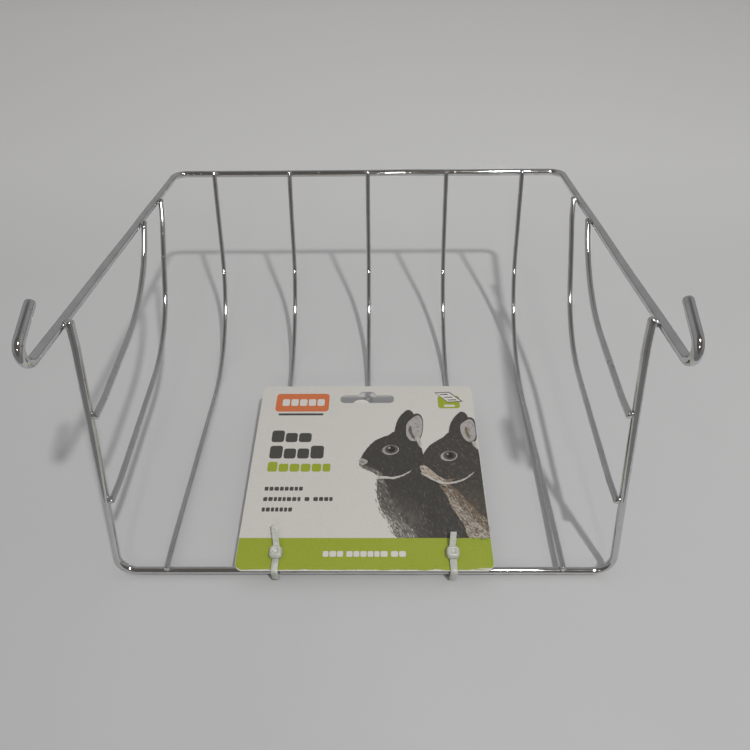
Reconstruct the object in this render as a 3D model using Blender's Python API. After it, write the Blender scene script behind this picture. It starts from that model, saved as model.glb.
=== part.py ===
"""Hay rack feeder: a welded wire basket with two hook arms and a hinged header card.

The rack lies on the floor of its basket.  +X runs along the rack, +Y points from
the near run to the far run and +Z is up.  All dimensions are in metres.
"""

import math

import bmesh
import bpy
from mathutils import Matrix, Vector

# ---- overall placing ----
NEAR_RUN_Y = -0.1102            # near run of the rim, so that the box is centred
CLEARANCE = 0.00035             # free space kept between neighbouring pieces
SIDES = (-1.0, 1.0)             # left and right half of the rack

# ---- wires ----
BAR_D = 0.0029                  # basket bars
HOOK_WIRE_D = 0.0040            # far run, hook arms and hooks
RIM_WIRE_D = 0.0035             # near run and its two arms
ARC_STEP = math.radians(9.0)    # turn between two points of a bend
END_ROUNDING = ((0.0, 0.55), (0.15, 0.86), (0.5, 1.0))  # depth and width in wire radii

# ---- main bars: near straight, floor bend, back rise ----
BAR_PITCH = 0.050
OUTER_BAR_X = 0.098             # outer bars at the far run
OUTER_BAR_DRIFT = 0.0030        # how far they close in by the near run
FLOOR_BEND_R = 0.088            # bend between the floor and the back
FLOOR_TOUCH_Y = 0.121           # where a bar touches the ground, from the near run
NEAR_SLOPE = math.radians(2.55)
BACK_SLOPE = math.radians(68.7)
BACK_RISE = 0.1103              # from the knee of the bend to the far run
BAR_NEAR_OVERHANG = 0.0013      # bar end past the middle of the near run
BAR_FAR_OVERHANG = 0.0019       # bar end past the middle of the far run

# ---- hook frame ----
FAR_HALF_W = 0.1236             # corner of the far run, from the middle
FAR_CORNER_R = 0.0075
HOOK_NOSE_X = 0.1147            # foremost point of a hook
HOOK_NOSE_Y = 0.006
HOOK_NOSE_Z = 0.1305
HOOK_BEND_R = 0.0055
HOOK_TURN = math.radians(154.0)
HOOK_RETURN = 0.016             # straight part behind the hook bend

# ---- rim frame ----
RIM_HALF_W = 0.119              # corner of the near run, from the middle
RIM_CORNER_R = 0.009
LAP_ON_ARM = 0.86               # where a rim arm meets the hook arm, far run to nose
LAP_OVERHANG = 0.0016           # rim arm end past that meeting point

# ---- side bars: share of the hook arm, share of the rim arm, knee Y, knee Z, bend ----
LOWER_SIDE_BAR = (0.233, 0.333, 0.1205, 0.0470, 0.073)
UPPER_SIDE_BAR = (0.388, 0.680, 0.1040, 0.0870, 0.090)
SIDE_BAR_OVERHANG = 0.0016      # bar end past the middle of its arm

# ---- header card, in its own plane: across, up the card, through the card ----
CARD_TILT = math.radians(5.0)   # far edge of the card stands a little higher
CARD_W = 0.1235
CARD_L = 0.1145
CARD_T = 0.0007
CARD_CORNER_R = 0.004
CARD_EDGE = -0.0030             # near edge, from the axis of the near run
CARD_LIFT = 0.0056              # underside above that axis
SLOT_W = 0.0314                 # hanging slot
SLOT_WING_H = 0.0056
SLOT_HUMP_W = 0.0106
SLOT_HUMP_H = 0.0085
SLOT_FROM_FAR_EDGE = 0.0128     # lower side of the slot
CUTTER_REACH = 0.004            # how far a cutter stands out of the card

# ---- cable ties ----
TIE_X = 0.0424
TIE_HOLE_UP = 0.0082            # hole from the near edge of the card
TIE_HOLE_D = 0.0046
STRAP_W = 0.0033
STRAP_T = 0.0010
TIE_HEAD_W = 0.0062
TIE_HEAD_L = 0.0060
TIE_HEAD_H = 0.0042
TIE_HEAD_BEVEL = 0.0009
TAIL_W = 0.0030
TAIL_TIP = (0.0211, 0.0174)     # tail ends of the left and right tie, up the card
TAIL_TIP_RISE = 0.0052          # tail tip above the card
TAIL_ROOT_RISE = 0.0022         # tail root above the card

# ---- derived ----
BAR_R = BAR_D / 2.0
HOOK_WIRE_R = HOOK_WIRE_D / 2.0
RIM_WIRE_R = RIM_WIRE_D / 2.0
BAR_TO_HOOK = HOOK_WIRE_R + BAR_R + CLEARANCE
BAR_TO_RIM = RIM_WIRE_R + BAR_R + CLEARANCE
RIM_TO_HOOK = HOOK_WIRE_R + RIM_WIRE_R + CLEARANCE

CHROME = (0.62, 0.63, 0.65, 1.0)
PAPER = (0.80, 0.80, 0.78, 1.0)
NYLON = (0.83, 0.85, 0.83, 1.0)


def place(x, y, z):
    """A point given from the middle of the near run, moved into the shared frame."""
    return Vector((x, y + NEAR_RUN_Y, z))


def clear_scene():
    """Remove everything a new file may hold."""
    for found in list(bpy.data.objects):
        bpy.data.objects.remove(found)


def make_material(name, colour, metallic, roughness):
    """A plain Principled material."""
    material = bpy.data.materials.new(name)
    material.use_nodes = True
    shader = material.node_tree.nodes["Principled BSDF"]
    shader.inputs["Base Color"].default_value = colour
    shader.inputs["Metallic"].default_value = metallic
    shader.inputs["Roughness"].default_value = roughness
    material.diffuse_color = colour
    return material


def add_object(name, data):
    """Link a new object to the scene."""
    made = bpy.data.objects.new(name, data)
    bpy.context.scene.collection.objects.link(made)
    return made


# ---------------------------------------------------------------- wires

def rounded_path(corners, radii):
    """Straight lines through the corners, each inner corner turned into an arc."""
    points = [corners[0]]
    for before, corner, after, radius in zip(corners, corners[1:], corners[2:], radii):
        back = (before - corner).normalized()
        onward = (after - corner).normalized()
        half = back.angle(onward) / 2.0
        centre = corner + (back + onward).normalized() * (radius / math.sin(half))
        reach = radius / math.tan(half)
        first = corner + back * reach - centre
        last = corner + onward * reach - centre
        turn = math.pi - 2.0 * half
        steps = max(2, math.ceil(turn / ARC_STEP))
        for step in range(steps + 1):
            angle = turn * step / steps
            mix = first * math.sin(turn - angle) + last * math.sin(angle)
            points.append(centre + mix / math.sin(turn))
    points.append(corners[-1])
    return points


def with_round_ends(points, radius):
    """Path points with their width, drawn in over the last half radius of each end."""
    start = (points[1] - points[0]).normalized()
    finish = (points[-2] - points[-1]).normalized()
    rows = [(points[0] + start * (depth * radius), width) for depth, width in END_ROUNDING]
    rows += [(point, 1.0) for point in points[1:-1]]
    closing = [(points[-1] + finish * (depth * radius), width) for depth, width in END_ROUNDING]
    return rows + closing[::-1]


def make_wire(name, points, diameter, resolution):
    """A round wire along the points, with slightly rounded ends."""
    rows = with_round_ends(points, diameter / 2.0)
    curve = bpy.data.curves.new(name, "CURVE")
    curve.dimensions = "3D"
    curve.twist_mode = "MINIMUM"
    curve.bevel_depth = diameter / 2.0
    curve.bevel_resolution = resolution
    curve.use_fill_caps = True
    spline = curve.splines.new("POLY")
    spline.points.add(len(rows) - 1)
    for target, (point, width) in zip(spline.points, rows):
        target.co = (point.x, point.y, point.z, 1.0)
        target.radius = width
    wire = add_object(name, curve)
    curve.materials.append(make_material(name + "_chrome", CHROME, 1.0, 0.18))
    return wire


def bar_knee():
    """Where the near straight and the back rise of a main bar would meet."""
    opening = FLOOR_BEND_R / math.cos((NEAR_SLOPE + BACK_SLOPE) / 2.0)
    lean = (BACK_SLOPE - NEAR_SLOPE) / 2.0
    knee_y = FLOOR_TOUCH_Y + opening * math.sin(lean)
    knee_z = BAR_R + FLOOR_BEND_R - opening * math.cos(lean)
    return knee_y, knee_z


def near_run_z():
    """Height of the near run, just under the main bars."""
    knee_y, knee_z = bar_knee()
    bar_z = knee_z + knee_y * math.tan(NEAR_SLOPE)
    return bar_z - BAR_TO_RIM / math.cos(NEAR_SLOPE)


def far_run_corner(side):
    """Corner of the far run, just behind the main bars."""
    knee_y, knee_z = bar_knee()
    y = knee_y + BACK_RISE * math.cos(BACK_SLOPE) + BAR_TO_HOOK * math.sin(BACK_SLOPE)
    z = knee_z + BACK_RISE * math.sin(BACK_SLOPE) - BAR_TO_HOOK * math.cos(BACK_SLOPE)
    return place(side * FAR_HALF_W, y, z)


def on_hook_arm(side, share):
    """A point of the hook arm's middle line, from the far run to the hook's nose."""
    nose = place(side * HOOK_NOSE_X, HOOK_NOSE_Y, HOOK_NOSE_Z)
    return far_run_corner(side).lerp(nose, share)


def rim_lap(side):
    """Where a rim arm lies against the inner side of the hook arm."""
    return on_hook_arm(side, LAP_ON_ARM) - Vector((side * RIM_TO_HOOK, 0.0, 0.0))


def on_rim_arm(side, share):
    """A point of the rim arm's middle line, from the near run to its upper end."""
    return place(side * RIM_HALF_W, 0.0, near_run_z()).lerp(rim_lap(side), share)


def hook_points(side):
    """Tip and turning point of one hook, bent back over its arm."""
    nose = on_hook_arm(side, 1.0)
    ahead = (nose - far_run_corner(side)).normalized()
    upward = Vector((side, 0.0, 0.0)).cross(ahead) * -side
    upward = (upward - ahead * upward.dot(ahead)).normalized()
    if upward.z < 0.0:
        upward = -upward
    reach = HOOK_BEND_R * math.tan(HOOK_TURN / 2.0)
    turning = nose + ahead * (reach - HOOK_BEND_R)
    behind = ahead * math.cos(HOOK_TURN) + upward * math.sin(HOOK_TURN)
    tip = turning + behind * (reach + HOOK_RETURN)
    return tip, turning


def build_hook_frame():
    """Far run, two hook arms and two hooks, bent from one wire."""
    left_tip, left_turning = hook_points(SIDES[0])
    right_tip, right_turning = hook_points(SIDES[1])
    corners = [left_tip, left_turning, far_run_corner(SIDES[0])]
    corners += [far_run_corner(SIDES[1]), right_turning, right_tip]
    radii = [HOOK_BEND_R, FAR_CORNER_R, FAR_CORNER_R, HOOK_BEND_R]
    make_wire("hook_frame", rounded_path(corners, radii), HOOK_WIRE_D, 4)


def build_rim_frame():
    """Near run and two arms, bent from one wire."""
    corners = []
    for side in SIDES:
        foot = on_rim_arm(side, 0.0)
        lap = rim_lap(side)
        end = lap + (lap - foot).normalized() * LAP_OVERHANG
        corners += [end, foot] if side < 0.0 else [foot, end]
    make_wire("rim_frame", rounded_path(corners, [RIM_CORNER_R] * 2), RIM_WIRE_D, 4)


def build_main_bar(name, x, drift):
    """One bar over the floor and up the back; drift is how far its near end lies inwards."""
    knee_y, knee_z = bar_knee()
    near_y = -BAR_NEAR_OVERHANG
    near_z = knee_z + (knee_y - near_y) * math.tan(NEAR_SLOPE)
    rise = BACK_RISE + BAR_FAR_OVERHANG
    far_y = knee_y + rise * math.cos(BACK_SLOPE)
    far_z = knee_z + rise * math.sin(BACK_SLOPE)
    knee_x = x - drift * (far_y - knee_y) / (far_y - near_y)
    corners = [place(x - drift, near_y, near_z), place(knee_x, knee_y, knee_z)]
    corners.append(place(x, far_y, far_z))
    make_wire(name, rounded_path(corners, [FLOOR_BEND_R]), BAR_D, 2)


def build_side_bar(name, side, shape):
    """One bar of a basket end, from the rim arm up to the hook arm."""
    arm_share, rim_share, knee_y, knee_z, bend = shape
    top = on_hook_arm(side, arm_share) - Vector((side * BAR_TO_HOOK, 0.0, 0.0))
    foot = on_rim_arm(side, rim_share) - Vector((side * BAR_TO_RIM, 0.0, 0.0))
    knee = place(0.0, knee_y, knee_z)
    along = (knee.y - foot.y) / (top.y - foot.y)
    knee.x = foot.x + (top.x - foot.x) * along
    top_end = top + (top - knee).normalized() * SIDE_BAR_OVERHANG
    foot_end = foot + (foot - knee).normalized() * SIDE_BAR_OVERHANG
    make_wire(name, rounded_path([foot_end, knee, top_end], [bend]), BAR_D, 2)


def build_bars():
    """Five bars across the basket and two at each end."""
    rows = (-OUTER_BAR_X, -BAR_PITCH, 0.0, BAR_PITCH, OUTER_BAR_X)
    drifts = (-OUTER_BAR_DRIFT, 0.0, 0.0, 0.0, OUTER_BAR_DRIFT)
    for number, (x, drift) in enumerate(zip(rows, drifts), start=1):
        build_main_bar(f"main_bar_{number}", x, drift)
    for side, label in zip(SIDES, ("left", "right")):
        build_side_bar(f"side_bar_{label}_lower", side, LOWER_SIDE_BAR)
        build_side_bar(f"side_bar_{label}_upper", side, UPPER_SIDE_BAR)


# ---------------------------------------------------------------- header card

def rounded_outline(width, length, radius):
    """Corner-rounded rectangle around the origin, counter-clockwise."""
    steps = max(2, round(math.radians(90.0) / (ARC_STEP * 2.0)))
    outline = []
    quarters = ((1.0, 1.0), (-1.0, 1.0), (-1.0, -1.0), (1.0, -1.0))
    for quarter, (sign_x, sign_y) in enumerate(quarters):
        centre_x = sign_x * (width / 2.0 - radius)
        centre_y = sign_y * (length / 2.0 - radius)
        for step in range(steps + 1):
            angle = math.radians(90.0) * (quarter + step / steps)
            across = centre_x + radius * math.cos(angle)
            outline.append((across, centre_y + radius * math.sin(angle)))
    return outline


def make_prism(name, outline, centre, low, high):
    """A closed prism over the outline, moved to the centre, from low to high."""
    shape = bmesh.new()
    rows = []
    for level in (low, high):
        ring = [shape.verts.new((x + centre[0], y + centre[1], level)) for x, y in outline]
        rows.append(ring)
    shape.faces.new(rows[0][::-1])
    shape.faces.new(rows[1])
    count = len(outline)
    for index in range(count):
        after = (index + 1) % count
        shape.faces.new((rows[0][index], rows[0][after], rows[1][after], rows[1][index]))
    bmesh.ops.remove_doubles(shape, verts=shape.verts, dist=1e-6)
    bmesh.ops.recalc_face_normals(shape, faces=shape.faces)
    mesh = bpy.data.meshes.new(name)
    shape.to_mesh(mesh)
    shape.free()
    return add_object(name, mesh)


def add_boolean(target, tool, operation):
    """Let the tool change the target; the tool itself stays out of the picture."""
    tool.hide_render = True
    tool.display_type = "WIRE"
    change = target.modifiers.new(tool.name, "BOOLEAN")
    change.operation = operation
    change.solver = "EXACT"
    change.object = tool


def make_swing():
    """The axis the card and its ties swing about: the middle line of the near run."""
    swing = add_object("card_swing", None)
    swing.location = place(0.0, 0.0, near_run_z())
    swing.rotation_euler = (CARD_TILT, 0.0, 0.0)
    return swing


def build_card(swing):
    """The card with its hanging slot and two tie holes."""
    low = CARD_LIFT
    high = CARD_LIFT + CARD_T
    outline = rounded_outline(CARD_W, CARD_L, CARD_CORNER_R)
    card = make_prism("header_card", outline, (0.0, CARD_EDGE + CARD_L / 2.0), low, high)
    card.data.materials.append(make_material("header_card_paper", PAPER, 0.0, 0.55))
    cut_low = low - CUTTER_REACH
    cut_high = high + CUTTER_REACH
    slot_base = CARD_EDGE + CARD_L - SLOT_FROM_FAR_EDGE
    wings = rounded_outline(SLOT_W, SLOT_WING_H, SLOT_WING_H / 2.2)
    hump = rounded_outline(SLOT_HUMP_W, SLOT_HUMP_H, SLOT_HUMP_W / 2.8)
    hole = rounded_outline(TIE_HOLE_D, TIE_HOLE_D, TIE_HOLE_D / 2.01)
    cutters = [
        make_prism("cut_wings", wings, (0.0, slot_base + SLOT_WING_H / 2.0), cut_low, cut_high),
        make_prism("cut_hump", hump, (0.0, slot_base + SLOT_HUMP_H / 2.0), cut_low, cut_high),
    ]
    for side in SIDES:
        centre = (side * TIE_X, CARD_EDGE + TIE_HOLE_UP)
        label = "left" if side < 0.0 else "right"
        cutters.append(make_prism(f"cut_hole_{label}", hole, centre, cut_low, cut_high))
    for cutter in cutters:
        add_boolean(card, cutter, "DIFFERENCE")
        cutter.parent = swing
    card.parent = swing


# ---------------------------------------------------------------- cable ties

def make_band(name, path, width, thickness, closed):
    """A flat strap that follows a path in the Y-Z plane."""
    shape = bmesh.new()
    count = len(path)
    rings = []
    for index, point in enumerate(path):
        before = path[index - 1] if closed or index > 0 else point
        after = path[(index + 1) % count] if closed or index < count - 1 else point
        onward = (after - before).normalized()
        outward = Vector((0.0, onward.z, -onward.y)) * (thickness / 2.0)
        across = Vector((width / 2.0, 0.0, 0.0))
        corners = (across + outward, across - outward, -across - outward, -across + outward)
        rings.append([shape.verts.new(point + corner) for corner in corners])
    links = count if closed else count - 1
    for index in range(links):
        here = rings[index]
        there = rings[(index + 1) % count]
        for corner in range(4):
            beside = (corner + 1) % 4
            shape.faces.new((here[corner], here[beside], there[beside], there[corner]))
    if not closed:
        shape.faces.new(rings[0])
        shape.faces.new(rings[-1][::-1])
    bmesh.ops.recalc_face_normals(shape, faces=shape.faces)
    mesh = bpy.data.meshes.new(name)
    shape.to_mesh(mesh)
    shape.free()
    return add_object(name, mesh)


def tie_loop_path():
    """Middle line of the strap: over the card's edge, round the run, up the hole."""
    half = STRAP_T / 2.0
    over = CARD_LIFT + CARD_T + CLEARANCE + half
    under = -(RIM_WIRE_R + CLEARANCE + half)
    front = CARD_EDGE - CLEARANCE - half
    hole = CARD_EDGE + TIE_HOLE_UP
    corners = [
        Vector((0.0, (front + hole) / 2.0, over)),
        Vector((0.0, front, over)),
        Vector((0.0, front, under)),
        Vector((0.0, -under, under)),
        Vector((0.0, hole, CARD_LIFT * 0.7)),
        Vector((0.0, hole, over)),
        Vector((0.0, (front + hole) / 2.0, over)),
    ]
    radii = [0.0012, -under, 0.0016, 0.0015, 0.0008]
    return rounded_path(corners, radii)[:-1]


def make_tie_head(name):
    """The small locking block on top of the card."""
    low = CARD_LIFT + CARD_T + CLEARANCE
    shape = bmesh.new()
    middle = Vector((0.0, CARD_EDGE + TIE_HOLE_UP, low + TIE_HEAD_H / 2.0))
    size = Matrix.Diagonal((TIE_HEAD_W, TIE_HEAD_L, TIE_HEAD_H, 1.0))
    bmesh.ops.create_cube(shape, size=1.0, matrix=Matrix.Translation(middle) @ size)
    edges = list(shape.edges)
    bmesh.ops.bevel(shape, geom=edges, offset=TIE_HEAD_BEVEL, segments=2, profile=0.6,
                    affect="EDGES")
    mesh = bpy.data.meshes.new(name)
    shape.to_mesh(mesh)
    shape.free()
    return add_object(name, mesh)


def build_tie(swing, label, side, tip):
    """Loop, head and tail of one cable tie, joined into one piece."""
    top = CARD_LIFT + CARD_T
    root = Vector((0.0, CARD_EDGE + TIE_HOLE_UP, top + TAIL_ROOT_RISE))
    end = Vector((0.0, CARD_EDGE + tip, top + TAIL_TIP_RISE))
    name = f"tie_{label}"
    tie = make_band(name, tie_loop_path(), STRAP_W, STRAP_T, True)
    tie.data.materials.append(make_material(name + "_nylon", NYLON, 0.0, 0.45))
    head = make_tie_head(f"join_head_{label}")
    tail = make_band(f"join_tail_{label}", [root, end], TAIL_W, STRAP_T, False)
    for tool in (head, tail):
        add_boolean(tie, tool, "UNION")
        tool.parent = swing
        tool.location.x = side * TIE_X
    tie.parent = swing
    tie.location.x = side * TIE_X


def main():
    """Build every piece of the rack."""
    clear_scene()
    build_hook_frame()
    build_rim_frame()
    build_bars()
    swing = make_swing()
    build_card(swing)
    for label, side, tip in zip(("left", "right"), SIDES, TAIL_TIP):
        build_tie(swing, label, side, tip)


main()
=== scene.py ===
import math
import random

import bmesh
import bpy
from mathutils import Matrix, Vector, noise


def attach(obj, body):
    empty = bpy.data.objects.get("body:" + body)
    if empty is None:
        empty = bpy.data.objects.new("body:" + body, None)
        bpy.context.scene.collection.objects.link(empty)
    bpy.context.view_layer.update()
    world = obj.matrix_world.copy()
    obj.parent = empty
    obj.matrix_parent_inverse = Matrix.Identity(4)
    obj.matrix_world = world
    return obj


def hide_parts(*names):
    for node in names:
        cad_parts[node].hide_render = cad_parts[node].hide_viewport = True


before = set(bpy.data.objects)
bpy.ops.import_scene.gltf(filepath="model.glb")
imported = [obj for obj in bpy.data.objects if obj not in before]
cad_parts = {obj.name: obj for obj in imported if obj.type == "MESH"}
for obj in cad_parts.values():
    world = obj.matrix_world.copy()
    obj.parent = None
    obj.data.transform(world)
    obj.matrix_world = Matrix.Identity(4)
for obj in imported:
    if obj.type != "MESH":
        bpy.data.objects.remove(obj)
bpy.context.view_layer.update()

# ---------------- sizes shared with the CAD part
NEAR_RUN_Y = -0.1102
CLEARANCE = 0.00035
SIDES = (-1.0, 1.0)
BAR_R, HOOK_R, RIM_R = 0.00145, 0.0020, 0.00175
MAIN_BAR_X = (-0.098, -0.050, 0.0, 0.050, 0.098)
MAIN_BAR_DRIFT = (-0.0030, 0.0, 0.0, 0.0, 0.0030)
FLOOR_BEND_R = 0.088
FLOOR_TOUCH_Y = 0.121
NEAR_SLOPE, BACK_SLOPE = math.radians(2.55), math.radians(68.7)
BACK_RISE = 0.1103
BAR_NEAR_OVERHANG, BAR_FAR_OVERHANG = 0.0013, 0.0019
FAR_HALF_W, FAR_CORNER_R = 0.1236, 0.0075
HOOK_NOSE = (0.1147, 0.006, 0.1305)
HOOK_BEND_R, HOOK_TURN, HOOK_RETURN = 0.0055, math.radians(154.0), 0.016
RIM_HALF_W, RIM_CORNER_R = 0.119, 0.009
LAP_ON_ARM, LAP_OVERHANG = 0.86, 0.0016
# Each side bar: its share of the hook arm and of the rim arm, its knee's y and z, its bend radius.
LOWER_SIDE_BAR = (0.233, 0.333, 0.1205, 0.0470, 0.073)
UPPER_SIDE_BAR = (0.388, 0.680, 0.1040, 0.0870, 0.090)
SIDE_BAR_OVERHANG = 0.0016
CARD_TILT = math.radians(5.0)
CARD_W, CARD_L, CARD_T, CARD_CORNER_R = 0.1235, 0.1145, 0.0007, 0.004
CARD_EDGE, CARD_LIFT = -0.0030, 0.0056
SLOT_W, SLOT_WING_H, SLOT_HUMP_W, SLOT_HUMP_H = 0.0314, 0.0056, 0.0106, 0.0085
SLOT_FROM_FAR_EDGE = 0.0128
TIE_X, TIE_HOLE_UP, TIE_HOLE_D = 0.0424, 0.0082, 0.0046
STRAP_W, STRAP_T = 0.0033, 0.0010
TIE_HEAD = (0.0062, 0.0060, 0.0042)
TAIL_TIP = (0.0211, 0.0174)
TAIL_TIP_RISE = 0.0052
TAIL_LEAN = (-0.0018, 0.0008)    # how far each tail tip leans sideways

BAR_TO_HOOK = HOOK_R + BAR_R + CLEARANCE
BAR_TO_RIM = RIM_R + BAR_R + CLEARANCE
RIM_TO_HOOK = HOOK_R + RIM_R + CLEARANCE

# ---------------- detail that only shows
WIRE_SIDES = 24
BEND_STEP = math.radians(3.0)
RUN_STEP = 0.0035               # longest straight piece of a swept wire
WAVE = 0.00022                  # how far drawn wire strays from true
WAVE_PER_M = 21.0
WAVE_SEED = 1                   # noise vectors differ from run to run without a seed
PRESS = 0.00060                 # how far a welded wire end is pressed towards its frame
PRESS_REACH = 0.014
WELD_SIZE = {"near": 0.00150, "far": 0.00155, "arm": 0.00150, "rim": 0.00145, "lap": 0.00200}
MM = 0.001
BAND_H = 0.0167                 # height of the printed band at the card's near edge
SHEET_MARGIN = 0.00015          # how far the print stops short of the board
SHEET_UP = 0.00003              # how far the printed sheet stands above the board
LAYER = 0.000012                # height of one printed layer in the model
FRAY = 0.00030                  # unevenness of a furry edge
OUTLINE_STEP = 0.0006           # spacing of the points of a drawn outline
ELLIPSE_STEPS = 28
TORN_SPOTS = ((1.3, 0.0535, 0.0022), (1.1, -0.0475, 0.0020))    # depth, place and reach
TONGUE_X, TONGUE_HALF_W, TONGUE_H = -0.0034, 0.0047, 0.0036
TONGUE_LEAN = 0.16              # fall of the slot's punched tongue
STRAP_BEND_STEP = math.radians(6.0)
TOOTH_PITCH = 0.0010            # teeth of a cable tie


def place(x, y, z):
    """A point given from the middle of the near run, moved into the shared frame."""
    return Vector((x, y + NEAR_RUN_Y, z))


# ---------------- materials

def node(tree, kind, inputs=None, **settings):
    """Add one shader node, set its options, then its inputs by value or by link."""
    made = tree.nodes.new(kind)
    for key, value in settings.items():
        setattr(made, key, value)
    for key, value in (inputs or {}).items():
        if isinstance(value, bpy.types.NodeSocket):
            tree.links.new(value, made.inputs[key])
        else:
            made.inputs[key].default_value = value
    return made


def principled(name, **values):
    """A material with its Principled shader; constants go straight onto the shader."""
    material = bpy.data.materials.new(name)
    material.use_nodes = True
    tree = material.node_tree
    shader = tree.nodes["Principled BSDF"]
    for key, value in values.items():
        shader.inputs[key.replace("_", " ")].default_value = value
    place_at = node(tree, "ShaderNodeTexCoord").outputs["Object"]
    return material, tree, shader, place_at


def speckle(tree, where, scale, detail=3.0):
    """Noise over the surface, as a grey value."""
    inputs = {"Vector": where, "Scale": scale, "Detail": detail, "Roughness": 0.55}
    return node(tree, "ShaderNodeTexNoise", inputs).outputs["Fac"]


def stretched(tree, where, scale):
    """Coordinates scaled by a different amount along each axis."""
    inputs = {"Vector": where, "Scale": scale}
    return node(tree, "ShaderNodeMapping", inputs).outputs["Vector"]


def ramp(tree, value, *stops):
    """A colour or grey ramp: each stop is a position and a colour or a grey."""
    made = node(tree, "ShaderNodeValToRGB", {"Fac": value})
    band = made.color_ramp
    while len(band.elements) < len(stops):
        band.elements.new(0.5)
    for element, (position, colour) in zip(band.elements, stops):
        element.position = position
        if isinstance(colour, float):
            colour = (colour, colour, colour)
        element.color = (*colour, 1.0)
    return made.outputs["Color"]


def mixed(tree, share, first, second):
    """First and second colour mixed by the share."""
    inputs = {"Factor": share, "A": first, "B": second}
    made = tree.nodes.new("ShaderNodeMix")
    made.data_type = "RGBA"
    for socket in made.inputs:
        if socket.name in inputs and socket.enabled:
            value = inputs[socket.name]
            if isinstance(value, bpy.types.NodeSocket):
                tree.links.new(value, socket)
            else:
                socket.default_value = (*value, 1.0) if isinstance(value, tuple) else value
    return next(out for out in made.outputs if out.enabled)


def set_bump(tree, shader, *layers):
    """Bump layers on top of each other: each one a height, a strength and a distance."""
    normal = None
    for height, strength, distance in layers:
        inputs = {"Height": height, "Strength": strength, "Distance": distance}
        if normal is not None:
            inputs["Normal"] = normal
        normal = node(tree, "ShaderNodeBump", inputs).outputs["Normal"]
    tree.links.new(normal, shader.inputs["Normal"])


def chrome_material(name, dull):
    """Plated steel wire: uneven polish, fine orange peel and a few dark pits."""
    material, tree, shader, where = principled(name, Metallic=1.0, IOR=2.2)
    cloud = speckle(tree, where, 90.0, 4.0)
    grain = speckle(tree, where, 1900.0, 2.0)
    pits = ramp(tree, speckle(tree, where, 620.0, 1.0), (0.71, 0.0), (0.77, 1.0))
    bright = ramp(tree, cloud, (0.30, (0.600, 0.598, 0.600)), (0.70, (0.690, 0.688, 0.690)))
    tree.links.new(mixed(tree, pits, bright, (0.30, 0.285, 0.27)), shader.inputs["Base Color"])
    polish = ramp(tree, cloud, (0.30, 0.035 + dull), (0.72, 0.085 + dull))
    tree.links.new(mixed(tree, pits, polish, (0.45, 0.45, 0.45)), shader.inputs["Roughness"])
    set_bump(tree, shader, (cloud, 0.10 + dull, 0.0005), (grain, 0.08 + dull, 0.00005))
    return material


def paper_material(name):
    """Raw board at the card's edges and back: soft, fibrous and slightly grey."""
    material, tree, shader, where = principled(name, Roughness=0.9)
    fibre = speckle(tree, stretched(tree, where, (900.0, 260.0, 900.0)), 1.0, 5.0)
    blotch = speckle(tree, where, 45.0, 3.0)
    shade = ramp(tree, fibre, (0.25, (0.58, 0.57, 0.54)), (0.75, (0.74, 0.73, 0.70)))
    grubby = ramp(tree, blotch, (0.35, 0.0), (0.80, 0.35))
    tree.links.new(mixed(tree, grubby, shade, (0.52, 0.50, 0.46)), shader.inputs["Base Color"])
    set_bump(tree, shader, (fibre, 0.35, 0.0001))
    return material


def print_material(name, ink, weak):
    """Ink on varnished card: fine print screen, faint scuffs and a satin coat."""
    material, tree, shader, where = principled(name, Coat_Weight=0.12, Coat_Roughness=0.30)
    screen = speckle(tree, where, 2600.0, 1.0)
    scuff = speckle(tree, stretched(tree, where, (60.0, 420.0, 60.0)), 1.0, 4.0)
    wash = speckle(tree, where, 28.0, 2.0)
    dots = ramp(tree, screen, (0.30, ink), (0.70, weak))
    worn = ramp(tree, scuff, (0.66, 0.0), (0.80, 0.16))
    tinted = mixed(tree, worn, dots, (0.70, 0.69, 0.66))
    tree.links.new(tinted, shader.inputs["Base Color"])
    tree.links.new(ramp(tree, wash, (0.3, 0.34), (0.7, 0.48)), shader.inputs["Roughness"])
    set_bump(tree, shader, (wash, 0.10, 0.0006), (screen, 0.05, 0.00004))
    return material


def fur_material(name, dark, mid, light, lean, chest=None):
    """Printed fur: streaks that lean one way, with light tufts, most of them near the chest."""
    material, tree, shader, where = principled(name, Roughness=0.42, Coat_Weight=0.12,
                                               Coat_Roughness=0.30)
    turned = node(tree, "ShaderNodeMapping", {"Vector": where, "Rotation": (0.0, 0.0, lean)})
    hair = speckle(tree, stretched(tree, turned.outputs["Vector"], (1500.0, 340.0, 900.0)), 1.0)
    coat = ramp(tree, hair, (0.32, dark), (0.68, mid))
    if chest is None:
        pale = ramp(tree, speckle(tree, where, 62.0, 3.0), (0.54, 0.0), (0.74, 0.75))
    else:
        x, y, reach, most = chest
        middle = (x * MM, NEAR_RUN_Y + CARD_EDGE + y * MM, 0.0)
        away = node(tree, "ShaderNodeVectorMath", {0: where, 1: middle}, operation="DISTANCE")
        inputs = {"Value": away.outputs["Value"], "From Min": 0.006, "From Max": reach * MM,
                  "To Min": most, "To Max": 0.0}
        near = node(tree, "ShaderNodeMapRange", inputs, interpolation_type="SMOOTHSTEP")
        tuft = speckle(tree, stretched(tree, turned.outputs["Vector"], (620.0, 210.0, 400.0)), 1.0)
        clear = ramp(tree, tuft, (0.36, 0.10), (0.66, 1.0))
        pale = node(tree, "ShaderNodeMath", {0: near.outputs["Result"], 1: clear},
                    operation="MULTIPLY").outputs["Value"]
    tree.links.new(mixed(tree, pale, coat, light), shader.inputs["Base Color"])
    set_bump(tree, shader, (hair, 0.06, 0.00004))
    return material


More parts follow.
